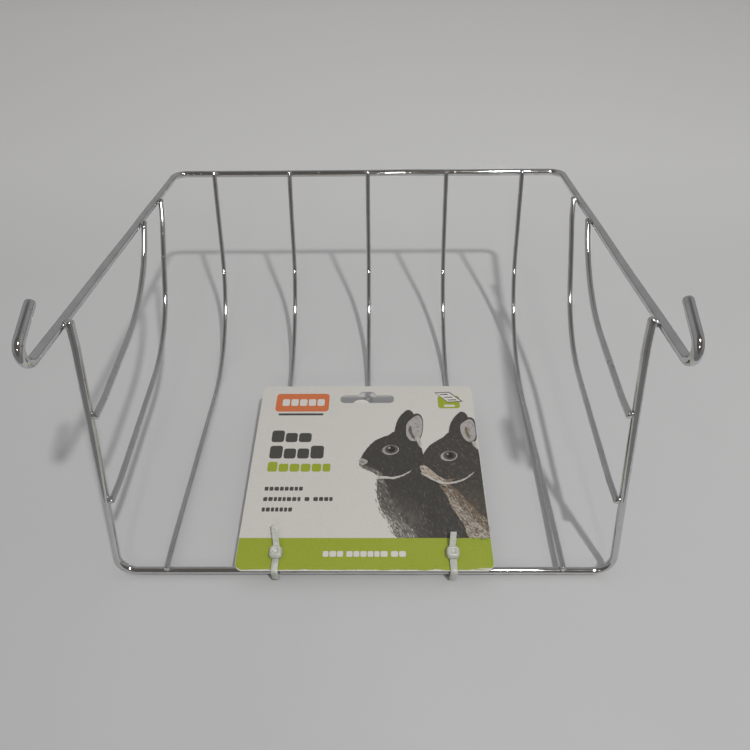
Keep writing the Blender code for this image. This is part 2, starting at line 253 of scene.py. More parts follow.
def nylon_material(name):
    """Natural nylon: milky, a little see-through, with moulding ripple."""
    material, tree, shader, where = principled(
        name, Subsurface_Weight=0.5, Subsurface_Scale=0.0012, Transmission_Weight=0.15,
        Subsurface_Radius=(1.0, 1.0, 1.0), IOR=1.53)
    cloud = speckle(tree, where, 240.0, 3.0)
    ripple = speckle(tree, stretched(tree, where, (1200.0, 500.0, 500.0)), 1.0)
    milk = ramp(tree, cloud, (0.3, (0.53, 0.55, 0.50)), (0.7, (0.70, 0.72, 0.67)))
    tree.links.new(milk, shader.inputs["Base Color"])
    tree.links.new(ramp(tree, cloud, (0.3, 0.28), (0.7, 0.46)), shader.inputs["Roughness"])
    set_bump(tree, shader, (ripple, 0.18, 0.0001))
    return material


# ---------------- shared mesh work

def new_object(name, data):
    """An object that is linked into the scene."""
    made = bpy.data.objects.new(name, data)
    bpy.context.scene.collection.objects.link(made)
    return made


def finish_piece(name, shape, material, body, smooth=True):
    """Turn a bmesh into a piece that rides on a CAD body."""
    bmesh.ops.recalc_face_normals(shape, faces=shape.faces)
    mesh = bpy.data.meshes.new(name)
    shape.to_mesh(mesh)
    shape.free()
    mesh.materials.append(material)
    for polygon in mesh.polygons:
        polygon.use_smooth = smooth
    piece = new_object(name, mesh)
    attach(piece, body)
    return piece


def rounded_path(corners, radii, step=BEND_STEP):
    """Straight lines through the corners, each inner corner turned into an arc."""
    points = [corners[0]]
    for before, corner, after, radius in zip(corners, corners[1:], corners[2:], radii):
        back = (before - corner).normalized()
        onward = (after - corner).normalized()
        half = back.angle(onward) / 2.0
        centre = corner + (back + onward).normalized() * (radius / math.sin(half))
        reach = radius / math.tan(half)
        first = corner + back * reach - centre
        last = corner + onward * reach - centre
        turn = math.pi - 2.0 * half
        steps = max(3, math.ceil(turn / step))
        for index in range(steps + 1):
            angle = turn * index / steps
            mix = first * math.sin(turn - angle) + last * math.sin(angle)
            points.append(centre + mix / math.sin(turn))
    points.append(corners[-1])
    return points


def densified(points, step):
    """The same path with no gap between points longer than the step."""
    rows = [points[0]]
    for here, there in zip(points, points[1:]):
        parts = max(1, math.ceil((there - here).length / step))
        rows += [here.lerp(there, part / parts) for part in range(1, parts + 1)]
    return rows


def pressed(points, end, toward):
    """The path with one end bent a little towards the wire it is welded to."""
    tip = points[end]
    rows = []
    for point in points:
        near = max(0.0, 1.0 - (point - tip).length / PRESS_REACH)
        rows.append(point + toward * (PRESS * near * near * (3.0 - 2.0 * near)))
    return rows


def bridge(shape, ring, onward):
    """Faces between two rings with the same number of points."""
    count = len(ring)
    for index in range(count):
        beside = (index + 1) % count
        shape.faces.new((ring[index], ring[beside], onward[beside], onward[index]))


def skin(shape, rings):
    """A closed skin over a row of rings, with a cap at each end."""
    for ring, onward in zip(rings, rings[1:]):
        bridge(shape, ring, onward)
    shape.faces.new(rings[0][::-1])
    shape.faces.new(rings[-1])


def add_tube(shape, points, radius):
    """A round wire with domed ends and the slight waviness of drawn wire."""
    depths = (0.0, 0.06, 0.18, 0.36, 0.62)
    widths = (0.50, 0.72, 0.87, 0.965, 1.0)
    start = (points[1] - points[0]).normalized()
    finish = (points[-2] - points[-1]).normalized()
    rows = [(points[0] + start * (d * radius), w) for d, w in zip(depths, widths)]
    rows += [(point, 1.0) for point in points[1:-1]
             if min((point - points[0]).length, (point - points[-1]).length) > radius]
    rows += [(points[-1] + finish * (d * radius), w) for d, w in zip(depths, widths)][::-1]
    across = start.orthogonal()
    rings = []
    for index, (point, width) in enumerate(rows):
        after = rows[min(index + 1, len(rows) - 1)][0]
        before = rows[max(index - 1, 0)][0]
        along = (after - before).normalized()
        across = (across - along * across.dot(along)).normalized()
        side = along.cross(across)
        stray = noise.noise_vector(point * WAVE_PER_M) * WAVE
        ring = []
        for step in range(WIRE_SIDES):
            angle = 2.0 * math.pi * step / WIRE_SIDES
            outward = across * math.cos(angle) + side * math.sin(angle)
            ring.append(shape.verts.new(point + stray + outward * (radius * width)))
        rings.append(ring)
    skin(shape, rings)


def add_weld(shape, point, outward, along_bar, along_frame, size, seed):
    """Metal squeezed out between two wires: a lumpy saddle with a few small drops."""
    draw = random.Random(seed)
    bead = bmesh.ops.create_icosphere(shape, subdivisions=3, radius=1.0)["verts"]
    for vertex in bead:
        lump = 1.0 + 0.16 * noise.noise(vertex.co * 1.7 + Vector((seed, 2.0 * seed, 0.0)))
        lump += 0.06 * noise.noise(vertex.co * 5.0 + Vector((0.0, seed, seed)))
        spread = vertex.co * lump
        vertex.co = point + along_bar * (spread.x * size * 1.02)
        vertex.co += along_frame * (spread.y * size * 0.92) + outward * (spread.z * size * 0.62)
    for _ in range(3):
        turn = draw.uniform(0.0, 2.0 * math.pi)
        reach = size * draw.uniform(0.85, 1.15)
        drop_r = size * draw.uniform(0.13, 0.24)
        centre = point + along_bar * (math.cos(turn) * reach * 0.9)
        centre += along_frame * (math.sin(turn) * reach)
        centre += outward * (draw.uniform(-0.3, 0.3) * size)
        drop = bmesh.ops.create_icosphere(shape, subdivisions=2, radius=drop_r)["verts"]
        for vertex in drop:
            vertex.co = vertex.co * (1.0 + 0.2 * noise.noise(vertex.co * 3000.0)) + centre


# ---------------- wires

def bar_knee():
    """Where the near straight and the back rise of a main bar would meet."""
    opening = FLOOR_BEND_R / math.cos((NEAR_SLOPE + BACK_SLOPE) / 2.0)
    lean = (BACK_SLOPE - NEAR_SLOPE) / 2.0
    return (FLOOR_TOUCH_Y + opening * math.sin(lean),
            BAR_R + FLOOR_BEND_R - opening * math.cos(lean))


KNEE_Y, KNEE_Z = bar_knee()
NEAR_RUN_Z = KNEE_Z + KNEE_Y * math.tan(NEAR_SLOPE) - BAR_TO_RIM / math.cos(NEAR_SLOPE)
OFF_FLOOR = Vector((0.0, math.sin(NEAR_SLOPE), math.cos(NEAR_SLOPE)))
OFF_BACK = Vector((0.0, -math.sin(BACK_SLOPE), math.cos(BACK_SLOPE)))
FAR_CONTACT_Y = KNEE_Y + BACK_RISE * math.cos(BACK_SLOPE)
FAR_CONTACT_Z = KNEE_Z + BACK_RISE * math.sin(BACK_SLOPE)


def far_run_corner(side):
    """Corner of the far run, just behind the main bars."""
    return place(side * FAR_HALF_W, FAR_CONTACT_Y, FAR_CONTACT_Z) - OFF_BACK * BAR_TO_HOOK


def on_hook_arm(side, share):
    """A point of the hook arm's middle line, from the far run to the hook's nose."""
    nose = place(side * HOOK_NOSE[0], *HOOK_NOSE[1:])
    return far_run_corner(side).lerp(nose, share)


def rim_lap(side):
    """Where a rim arm lies against the inner side of the hook arm."""
    return on_hook_arm(side, LAP_ON_ARM) - Vector((side * RIM_TO_HOOK, 0.0, 0.0))


def on_rim_arm(side, share):
    """A point of the rim arm's middle line, from the near run to its upper end."""
    return place(side * RIM_HALF_W, 0.0, NEAR_RUN_Z).lerp(rim_lap(side), share)


def hook_points(side):
    """Tip and turning point of one hook, bent back over its arm."""
    nose = on_hook_arm(side, 1.0)
    ahead = (nose - far_run_corner(side)).normalized()
    upward = Vector((1.0, 0.0, 0.0)).cross(ahead).normalized()
    upward = upward if upward.z > 0.0 else -upward
    reach = HOOK_BEND_R * math.tan(HOOK_TURN / 2.0)
    turning = nose + ahead * (reach - HOOK_BEND_R)
    behind = ahead * math.cos(HOOK_TURN) + upward * math.sin(HOOK_TURN)
    return turning + behind * (reach + HOOK_RETURN), turning


def wire_piece(name, replaced, points, radius, material):
    """One finished wire that stands for its CAD node."""
    shape = bmesh.new()
    add_tube(shape, points, radius)
    piece = finish_piece(name, shape, material, "rack")
    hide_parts(replaced)


def make_frames(material):
    """The heavy hook frame and the rim frame."""
    left_tip, left_turning = hook_points(SIDES[0])
    right_tip, right_turning = hook_points(SIDES[1])
    corners = [left_tip, left_turning, far_run_corner(SIDES[0])]
    corners += [far_run_corner(SIDES[1]), right_turning, right_tip]
    radii = [HOOK_BEND_R, FAR_CORNER_R, FAR_CORNER_R, HOOK_BEND_R]
    hook_path = densified(rounded_path(corners, radii), RUN_STEP)
    wire_piece("wire_hook_frame", "hook_frame", hook_path, HOOK_R, material)
    corners = []
    for side in SIDES:
        foot, lap = on_rim_arm(side, 0.0), rim_lap(side)
        end = lap + (lap - foot).normalized() * LAP_OVERHANG
        corners += [end, foot] if side < 0.0 else [foot, end]
    rim_path = densified(rounded_path(corners, [RIM_CORNER_R] * 2), RUN_STEP)
    for end, side in zip((0, -1), SIDES):
        rim_path = pressed(rim_path, end, Vector((side, 0.0, 0.0)))
    wire_piece("wire_rim_frame", "rim_frame", rim_path, RIM_R, material)


def make_bars(material, welds):
    """The nine thin bars, and their welds gathered in one dictionary of shapes."""
    near_z = KNEE_Z + (KNEE_Y + BAR_NEAR_OVERHANG) * math.tan(NEAR_SLOPE)
    rise = BACK_RISE + BAR_FAR_OVERHANG
    far_y, far_z = KNEE_Y + rise * math.cos(BACK_SLOPE), KNEE_Z + rise * math.sin(BACK_SLOPE)
    near_along = Vector((0.0, math.cos(NEAR_SLOPE), -math.sin(NEAR_SLOPE)))
    far_along = Vector((0.0, math.cos(BACK_SLOPE), math.sin(BACK_SLOPE)))
    across = Vector((1.0, 0.0, 0.0))
    for number, (x, drift) in enumerate(zip(MAIN_BAR_X, MAIN_BAR_DRIFT), start=1):
        knee_x = x - drift * (far_y - KNEE_Y) / (far_y + BAR_NEAR_OVERHANG)
        corners = [place(x - drift, -BAR_NEAR_OVERHANG, near_z), place(knee_x, KNEE_Y, KNEE_Z),
                   place(x, far_y, far_z)]
        path = densified(rounded_path(corners, [FLOOR_BEND_R]), RUN_STEP)
        path = pressed(pressed(path, 0, -OFF_FLOOR), -1, -OFF_BACK)
        wire_piece(f"wire_main_bar_{number}", f"main_bar_{number}", path, BAR_R, material)
        near = place(x - drift, 0.0, NEAR_RUN_Z) + OFF_FLOOR * RIM_R
        far = place(x, FAR_CONTACT_Y, FAR_CONTACT_Z) - OFF_BACK * (BAR_R + CLEARANCE)
        add_weld(welds["near"], near, OFF_FLOOR, near_along, across, WELD_SIZE["near"], 10 + number)
        add_weld(welds["far"], far, OFF_BACK, far_along, across, WELD_SIZE["far"], 20 + number)
    for side, label in zip(SIDES, ("left", "right")):
        inward = Vector((-side, 0.0, 0.0))
        for level, sizes in (("lower", LOWER_SIDE_BAR), ("upper", UPPER_SIDE_BAR)):
            arm_share, rim_share, knee_y, knee_z, bend = sizes
            arm, rim = on_hook_arm(side, arm_share), on_rim_arm(side, rim_share)
            top, foot = arm + inward * BAR_TO_HOOK, rim + inward * BAR_TO_RIM
            knee = place(0.0, knee_y, knee_z)
            knee.x = foot.x + (top.x - foot.x) * (knee.y - foot.y) / (top.y - foot.y)
            up, down = (top - knee).normalized(), (foot - knee).normalized()
            ends = [foot + down * SIDE_BAR_OVERHANG, knee, top + up * SIDE_BAR_OVERHANG]
            path = densified(rounded_path(ends, [bend]), RUN_STEP)
            path = pressed(pressed(path, 0, -inward), -1, -inward)
            name = f"side_bar_{label}_{level}"
            wire_piece(f"wire_{name}", name, path, BAR_R, material)
            arm_along = (on_hook_arm(side, 1.0) - arm).normalized()
            rim_along = (on_rim_arm(side, 1.0) - rim).normalized()
            seed = 30 + 10 * side + (2 if level == "upper" else 0)
            add_weld(welds[label], arm + inward * HOOK_R, inward, up, arm_along,
                     WELD_SIZE["arm"], seed)
            add_weld(welds[label], rim + inward * RIM_R, inward, down, rim_along,
                     WELD_SIZE["rim"], seed + 1)
        lap = on_hook_arm(side, LAP_ON_ARM)
        arm_along = (on_hook_arm(side, 1.0) - lap).normalized()
        rim_along = (rim_lap(side) - on_rim_arm(side, 0.0)).normalized()
        add_weld(welds[label], lap + inward * HOOK_R, inward, rim_along, arm_along,
                 WELD_SIZE["lap"], 60 + side)


# ---------------- header card

CARD_FRAME = (Matrix.Translation(place(0.0, 0.0, NEAR_RUN_Z))
              @ Matrix.Rotation(CARD_TILT, 4, "X"))


def rounded_outline(width, length, radius, centre=(0.0, 0.0), steps=8):
    """Corner-rounded rectangle, counter-clockwise."""
    outline = []
    for quarter, (sign_x, sign_y) in enumerate(((1, 1), (-1, 1), (-1, -1), (1, -1))):
        for step in range(steps + 1):
            angle = math.radians(90.0) * (quarter + step / steps)
            x = sign_x * (width / 2.0 - radius) + radius * math.cos(angle)
            y = sign_y * (length / 2.0 - radius) + radius * math.sin(angle)
            outline.append((x + centre[0], y + centre[1]))
    return outline


def arc(x, y, radius, first, last):
    """Nine points of an arc, from the first to the last angle in degrees."""
    angles = [math.radians(first + (last - first) * step / 8.0) for step in range(9)]
    return [(x + radius * math.cos(a), y + radius * math.sin(a)) for a in angles]


def slot_outline():
    """The hanging slot: two round-ended wings with a hump in the middle."""
    half_wing, wing_r = SLOT_W / 2.0, SLOT_WING_H / 2.2
    half_hump, hump_r = SLOT_HUMP_W / 2.0, SLOT_HUMP_W / 2.8
    base = CARD_EDGE + CARD_L - SLOT_FROM_FAR_EDGE
    wing_top, hump_top = base + SLOT_WING_H, base + SLOT_HUMP_H
    right = arc(half_wing - wing_r, base + wing_r, wing_r, -90.0, 0.0)
    right += arc(half_wing - wing_r, wing_top - wing_r, wing_r, 0.0, 90.0)
    right.append((half_hump, wing_top))
    right += arc(half_hump - hump_r, hump_top - hump_r, hump_r, 15.0, 90.0)
    return right + [(-x, y) for x, y in right[::-1]]


def add_plate(shape, loops, low, high):
    """A closed flat plate over a 2-D outline with holes, in the card's own frame."""
    caps = []
    for level in (low, high):
        rings, edges = [], []
        for loop in loops:
            ring = [shape.verts.new((x, y, level)) for x, y in loop]
            rings.append(ring)
            edges += [shape.edges.new((a, b)) for a, b in zip(ring, ring[1:] + ring[:1])]
        bmesh.ops.triangle_fill(shape, edges=edges, use_beauty=True)
        caps.append(rings)
    for low_ring, high_ring in zip(*caps):
        bridge(shape, low_ring, high_ring)


def card_piece(name, shape, material, replaced=None, smooth=False):
    """Move a shape from the card's own frame into the shared one and finish it."""
    bmesh.ops.transform(shape, matrix=CARD_FRAME, verts=shape.verts)
    piece = finish_piece(name, shape, material, "card", smooth)
    if replaced:
        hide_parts(replaced)
    return piece


def curve_outline(points, fray=0.0, seed=0.0):
    """A smooth closed outline through given points in millimetres, with a furry edge."""
    count = len(points)
    outline = []
    for index in range(count):
        a, b, c, d = (Vector(points[(index + k - 1) % count]) * MM for k in range(4))
        steps = max(2, round((c - b).length / OUTLINE_STEP))
        for step in range(steps):
            t = step / steps
            spot = 0.5 * ((2.0 * b) + (c - a) * t + (2.0 * a - 5.0 * b + 4.0 * c - d) * t * t
                          + (3.0 * b - a - 3.0 * c + d) * t * t * t)
            if fray:
                at = Vector((spot.x, spot.y, seed)) * 1500.0
                beside = at + Vector((7.0, 3.0, 1.0))
                spot += Vector((noise.noise(at), noise.noise(beside))) * fray
            outline.append((spot.x, spot.y + CARD_EDGE))
    return outline


def ellipse(x, y, wide, high, turn=0.0):
    """An ellipse in millimetres on the card."""
    lean = math.radians(turn)
    rows = []
    for step in range(ELLIPSE_STEPS):
        angle = 2.0 * math.pi * step / ELLIPSE_STEPS
        u, v = wide * math.cos(angle), high * math.sin(angle)
        rows.append(((x + u * math.cos(lean) - v * math.sin(lean)) * MM,
                     (y + u * math.sin(lean) + v * math.cos(lean)) * MM + CARD_EDGE))
    return rows


def block(x, y, wide, high, radius):
    """A round-cornered block in millimetres on the card, from its lower left corner."""
    centre = ((x + wide / 2.0) * MM, (y + high / 2.0) * MM + CARD_EDGE)
    return rounded_outline(wide * MM, high * MM, radius * MM, centre, 4)


# Two rabbits drawn for this card, in millimetres: across from the middle, up from the near edge.
RABBIT_A = {
    "coat": [
        (-3.5, 61.5), (-1, 67.5), (2.5, 72.5), (6.5, 76), (12, 78.5), (16, 81), (22.5, 79),
        (27, 75), (30, 71), (31, 66), (32, 60), (33.5, 55), (38, 48), (42, 39.5), (46, 31),
        (49.5, 23.5), (51, 16.5), (34, 16.4), (17, 16.5), (13.5, 22), (10.5, 28), (7.5, 34),
        (6, 40), (6, 46), (6.5, 51), (8, 53.5), (3, 56), (-1.5, 57.5), (-3.5, 59.5)],
    "ear_far": [
        (16, 79), (16.5, 85.5), (18.5, 91), (21.5, 95), (24, 96.5), (26.5, 94.5), (26.5, 91),
        (24, 87), (22.5, 83), (21.5, 78)],
    "ear_near": [
        (20, 79), (21, 86.5), (24, 91.2), (28.5, 93.8), (31.2, 92), (32, 87), (31.2, 80),
        (29.4, 75.5), (25.5, 73.5)],
    "ear_in": [
        (22.2, 80.5), (22.5, 85.5), (24.8, 89.3), (28.8, 92.4), (30.9, 90.8), (31.6, 86.5),
        (30.8, 80), (28.8, 75.2), (25.2, 74.6), (22.9, 77)],
    "ear_shade": [(23.6, 83), (24.1, 79.5), (26, 76), (27, 77), (25.6, 80.5), (25, 84.8)],
    "tuft": [(27.6, 76.0), (29.4, 76.6), (30.4, 73.0), (30.2, 69.8), (28.6, 72.6)],
    "chin": [
        (-3.5, 60.0), (-1.5, 58.9), (2.6, 57.4), (6.6, 55.2), (9.0, 53.0), (7.0, 51.9),
        (3.4, 54.4), (-0.6, 56.3), (-3.2, 58.2)],
    "fringe": [
        (4.7, 51), (4.7, 40), (6.2, 33), (9.2, 27), (12.2, 21.5), (15.6, 16.9), (24, 16.9),
        (17, 25), (12, 32), (9.2, 39), (8.6, 46), (9.0, 51)],
    "muzzle": [(-3.7, 62.2), (-1.6, 63), (0.8, 61.4), (0.2, 59.8), (-2, 59), (-3.5, 60)],
    "jaw": [
        (6.6, 51.8), (10, 51.9), (14, 51.5), (18, 52.3), (21.5, 53.9), (24.6, 55.8), (21.7, 53.2),
        (18, 51.2), (14, 50.2), (10, 50.4), (6.4, 50.5)],
    "breast": [
        (6.2, 50.2), (8.6, 50), (10.6, 48), (12.5, 41), (16, 33), (20, 25.5), (26, 17), (17, 16.9),
        (13.6, 22.2), (10.6, 28.2), (7.6, 34.2), (6.1, 40), (6, 46)],
    "bib": [(9.5, 31), (13, 27), (16.5, 22.5), (20, 17), (16.6, 16.9), (13.3, 22.2), (10.4, 28)],
    "eye": (13.4, 68.6), "nostril": (-2.0, 60.9), "lean": -58.0,
    "dim_fringe": 170, "light_fringe": 50,
}
RABBIT_B = {
    "coat": [
        (28.8, 57.5), (29.6, 62.5), (31.5, 66.5), (34.5, 71), (38, 74), (42.5, 77), (46.5, 80.5),
        (52.5, 79), (57, 76), (60.5, 71.5), (61.4, 66), (61.4, 50), (61.4, 33), (61.4, 16.5),
        (51.6, 16.5), (49.5, 23), (46.5, 29), (43.5, 35), (41, 42), (38.5, 46.5), (34.5, 49.5),
        (30.5, 52), (28.8, 54.5)],
    "ear_far": [
        (46.3, 79), (47.3, 86), (50, 91), (54, 95), (56.8, 93.5), (57.6, 90), (54.8, 87.4),
        (53, 84), (52.5, 79)],
    "ear_near": [
        (51, 79), (51.6, 85.6), (54.5, 89.2), (58.5, 91), (61.2, 88.8), (61.4, 82), (60.9, 75.5),
        (57.5, 72.6), (53.6, 73.6)],
    "ear_in": [
        (53, 79.5), (52.8, 84.8), (55, 87.6), (58.4, 89.5), (60.5, 87.6), (61, 82), (60.3, 76.2),
        (57.4, 73.8), (54.6, 75.5)],
    "ear_shade": [(55.1, 83), (55.4, 79.5), (56.8, 75.8), (57.8, 77), (57, 80.5), (56.4, 84)],
    "tuft": [(58.2, 73.4), (60.4, 74.2), (61.0, 71.6), (60.8, 68.8), (59.2, 71.2)],
    "chin": [
        (31.4, 54.6), (35, 52.6), (39, 50.8), (43, 49.9), (47, 50.4), (43.6, 48.2), (39, 48.2),
        (34.6, 50.4), (31.0, 52.6)],
    "fringe": [
        (39.0, 47), (42.4, 42), (45.0, 36), (48.4, 29), (51.0, 22), (53.0, 16.9), (60.8, 16.9),
        (55, 28), (49.5, 36), (45.5, 43), (43.5, 47)],
    "muzzle": [
        (28.9, 57.8), (31.5, 58.4), (34.4, 56), (37.4, 52.8), (41.5, 49.6), (38, 49.4), (34.4, 51),
        (30.6, 52.8)],
    "jaw": [
        (29.4, 54.0), (34.6, 51.2), (40, 48.7), (44.2, 48.2), (48, 48.9), (52.6, 50.8),
        (57.6, 54.6), (56.0, 52.6), (52.6, 49.9), (48, 47.9), (43.8, 47.0), (39.6, 47.2),
        (34.2, 50.1), (29.8, 53.0)],
    "breast": [
        (38.6, 46.6), (43.6, 46.8), (48.5, 42), (53, 36), (57.5, 30), (61.3, 26), (61.3, 16.9),
        (51.6, 16.9), (49.6, 22.8), (46.6, 28.8), (43.6, 34.8), (41.1, 41.8)],
    "bib": [
        (42, 42), (45.5, 38), (50, 31.5), (55, 25.5), (61, 20.5), (61, 16.9), (51.8, 16.9),
        (49.8, 22.6), (46.8, 28.6), (43.8, 34.6)],
    "eye": (45.0, 64.5), "nostril": (30.5, 56.4), "lean": -52.0,
    "dim_fringe": 40, "light_fringe": 170,
}

# Fur of each rabbit: dark, middle and light colour, lean of the hairs, and the light chest's
# middle, reach and strength.
FURS_A = (
    ("coat", (0.040, 0.038, 0.034), (0.062, 0.058, 0.052), (0.25, 0.225, 0.20), 0.5,
     (12.0, 22.0, 27.0, 0.72)),
    ("hair", (0.070, 0.066, 0.060), (0.100, 0.094, 0.084), (0.12, 0.11, 0.10), 0.5),
    ("breast", (0.092, 0.083, 0.075), (0.165, 0.148, 0.135), (0.26, 0.235, 0.215), 0.9),
    ("bib", (0.240, 0.220, 0.200), (0.410, 0.380, 0.355), (0.52, 0.49, 0.46), 0.9),
)
FURS_B = (
    ("coat", (0.043, 0.040, 0.036), (0.068, 0.062, 0.055), (0.21, 0.155, 0.105), 0.8,
     (50.0, 28.0, 27.0, 0.55)),
    ("hair", (0.070, 0.064, 0.056), (0.100, 0.088, 0.074), (0.12, 0.10, 0.08), 0.8),
    ("breast", (0.135, 0.100, 0.068), (0.260, 0.200, 0.140), (0.40, 0.33, 0.25), 0.9),
    ("bib", (0.330, 0.270, 0.215), (0.520, 0.450, 0.385), (0.60, 0.53, 0.47), 0.9),
)


def inside(x, y, outline):
    """Whether a point lies in a closed outline."""
    found = False
    for (ax, ay), (bx, by) in zip(outline, outline[1:] + outline[:1]):
        if (ay > y) != (by > y) and x < ax + (y - ay) * (bx - ax) / (by - ay):
            found = not found
    return found


def add_hairs(shape, outline, count, lean, level, draw, low_share):
    """Short printed hairs over an area; a low_share above 0 sets more of them low down."""
    left, right = min(x for x, _ in outline), max(x for x, _ in outline)
    floor, roof = min(y for _, y in outline), max(y for _, y in outline)
    made = 0
    while made < count:
        x = draw.uniform(left, right)
        y = floor + (roof - floor) * draw.random() ** (1.0 + low_share)
        angle = math.radians(lean + draw.gauss(0.0, 14.0))
        length, wide = draw.uniform(1.2, 3.0) * MM, draw.uniform(0.09, 0.22) * MM
        ahead = Vector((math.cos(angle), math.sin(angle))) * length
        side = Vector((-math.sin(angle), math.cos(angle))) * wide
        root = Vector((x, y))
        tip = root + ahead
        if not inside(x, y, outline) or not inside(tip.x, tip.y, outline):
            made += 0.2
            continue
        made += 1
        ring = [root, root + ahead * 0.35 - side, tip, root + ahead * 0.35 + side]
        heights = (level - LAYER, level)
        skin(shape, [[shape.verts.new((p.x, p.y, z)) for p in ring] for z in heights])


def make_rabbit(label, rabbit, base, top, coats, draw):
    """One printed rabbit: coat, ears, eye, muzzle, jaw line and mottled breast."""
    coat, hair, breast, bib, inner, light, iris, pupil = coats
    edge = CARD_W / 2.0 - 2.0 * SHEET_MARGIN
    floor = CARD_EDGE + BAND_H

    def drawn(key, fray=1.0, seed=0.0):
        return curve_outline(rabbit[key], FRAY * fray, base + seed)

    def layer(name, material, *parts):
        shape = bmesh.new()
        for step, outline in parts:
            cut = [(min(x, edge), max(y, floor)) for x, y in outline]
            add_plate(shape, [cut], top - LAYER, top + LAYER * (base + step))
        card_piece(f"card_print_{name}_{label}", shape, material)

    def hairs(name, material, step, *areas):
        shape = bmesh.new()
        for key, count, low_share in areas:
            add_hairs(shape, curve_outline(rabbit[key]), count, rabbit["lean"],
                      top + LAYER * (base + step), draw, low_share)
        card_piece(f"card_print_{name}_{label}", shape, material)

    layer("coat", coat, (0, drawn("coat")), (1, drawn("ear_far", 0.5)), (3, drawn("ear_near", 0.5)))
    layer("breast", breast, (1, drawn("breast", 2.0, 3.0)), (2, drawn("chin", 1.6, 7.0)))
    layer("bib", bib, (2, drawn("bib", 2.4, 5.0)), (3, drawn("muzzle")))
    hairs("hairs", hair, 3, ("coat", 300, 0.2), ("ear_far", 20, 0.0))
    hairs("breast_hairs", breast, 4, ("coat", 240, 2.6), ("breast", 90, 0.0), ("bib", 70, 0.0),
          ("fringe", rabbit["dim_fringe"], 0.0))
    hairs("bib_hairs", light, 5, ("breast", 70, 0.9), ("bib", 90, 0.0), ("tuft", 10, 0.0),
          ("chin", 14, 0.0), ("fringe", rabbit["light_fringe"], 0.6))
    hairs("dark_hairs", coat, 6, ("breast", 190, -0.3), ("bib", 60, 0.0), ("chin", 22, 0.0),
          ("ear_in", 8, 0.0))
    x, y = rabbit["eye"]
    layer("ear_inside", inner, (4, drawn("ear_in", 0.5)), (4, ellipse(x - 0.1, y, 4.6, 3.2, 8.0)))
    layer("ear_shade", breast, (5, drawn("ear_shade")))
    layer("pale", light, (4, drawn("jaw", 1.3)), (5, drawn("tuft", 1.4)),
          (8, ellipse(x - 0.7, y + 1.2, 0.5, 0.42)))
    layer("iris", iris, (5, ellipse(x + 0.4, y + 0.3, 3.55, 2.75, 6.0)),
          (6, ellipse(*rabbit["nostril"], 0.8, 0.35, -25.0)))
    layer("pupil", pupil, (6, ellipse(x + 0.5, y + 0.4, 2.0, 1.9)))


def greeked(x, y, high, pattern, gap=0.55):
    """Blocks that stand for a line of words: each one a width and a height share."""
    rows = []
    for wide, share in pattern:
        if share > 0.0:
            rows.append((1, block(x, y, wide, high * share, min(wide, high) * 0.22)))
        x += wide + gap
    return rows


def tray_outline(x, y, wide, deep):
    """The slanted outline of a tray seen from above, from its far left corner, in millimetres."""
    corners = [(x, y), (x + wide, y + 0.05 * wide), (x + wide + 0.98 * deep, y - 0.9 * deep),
               (x + 0.98 * deep, y - deep)]
    return [(cx * MM, cy * MM + CARD_EDGE) for cx, cy in corners]


def words(draw, counts, wide, space):
    """A seeded pattern of word blocks: glyph widths with blank spaces between words."""
    pattern = []
    for count in counts:
        for _ in range(count):
            pattern.append((wide * draw.uniform(0.7, 1.1), 0.8))
        pattern.append((space, 0.0))
    return pattern


